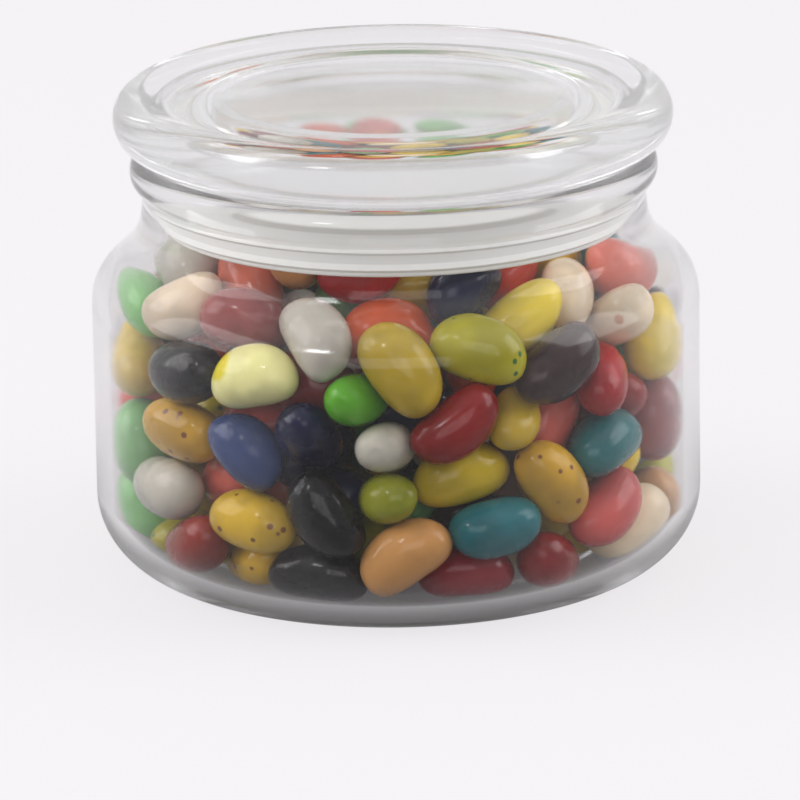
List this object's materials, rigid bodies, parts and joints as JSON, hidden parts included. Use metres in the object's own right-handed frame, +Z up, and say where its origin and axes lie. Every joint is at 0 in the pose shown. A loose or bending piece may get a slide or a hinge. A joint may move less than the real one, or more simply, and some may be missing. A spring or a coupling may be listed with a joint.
{
  "type": "glass jar of jelly beans with a flat glass lid",
  "caption": "Round clear glass jar with a rounded foot, a wide mouth and a thick flat glass lid, filled nearly to the neck with glossy jelly beans of mixed colours.",
  "frame": {"origin": "centre of the foot ring, on the surface the jar stands on", "axes": "+Z up along the jar's axis of turning, through the lid; X and Y are any two directions across it"},
  "size_m": [0.1022, 0.1022, 0.0817],
  "materials": {
    "jar_glass": "clear pressed glass, polished, faint grey-green at thick edges",
    "lid_glass": "clear pressed glass, thick rounded rim, polished",
    "seal_plastic": "milky translucent soft plastic, faintly ribbed",
    "bean_shells": "glossy sugar shells in many colours, some speckled"
  },
  "bodies": {
    "root": {"jar": "jar_glass", "lid": "lid_glass", "lid_seal": "seal_plastic", "bean_heap": "bean_shells"}
  },
  "joints": []
}
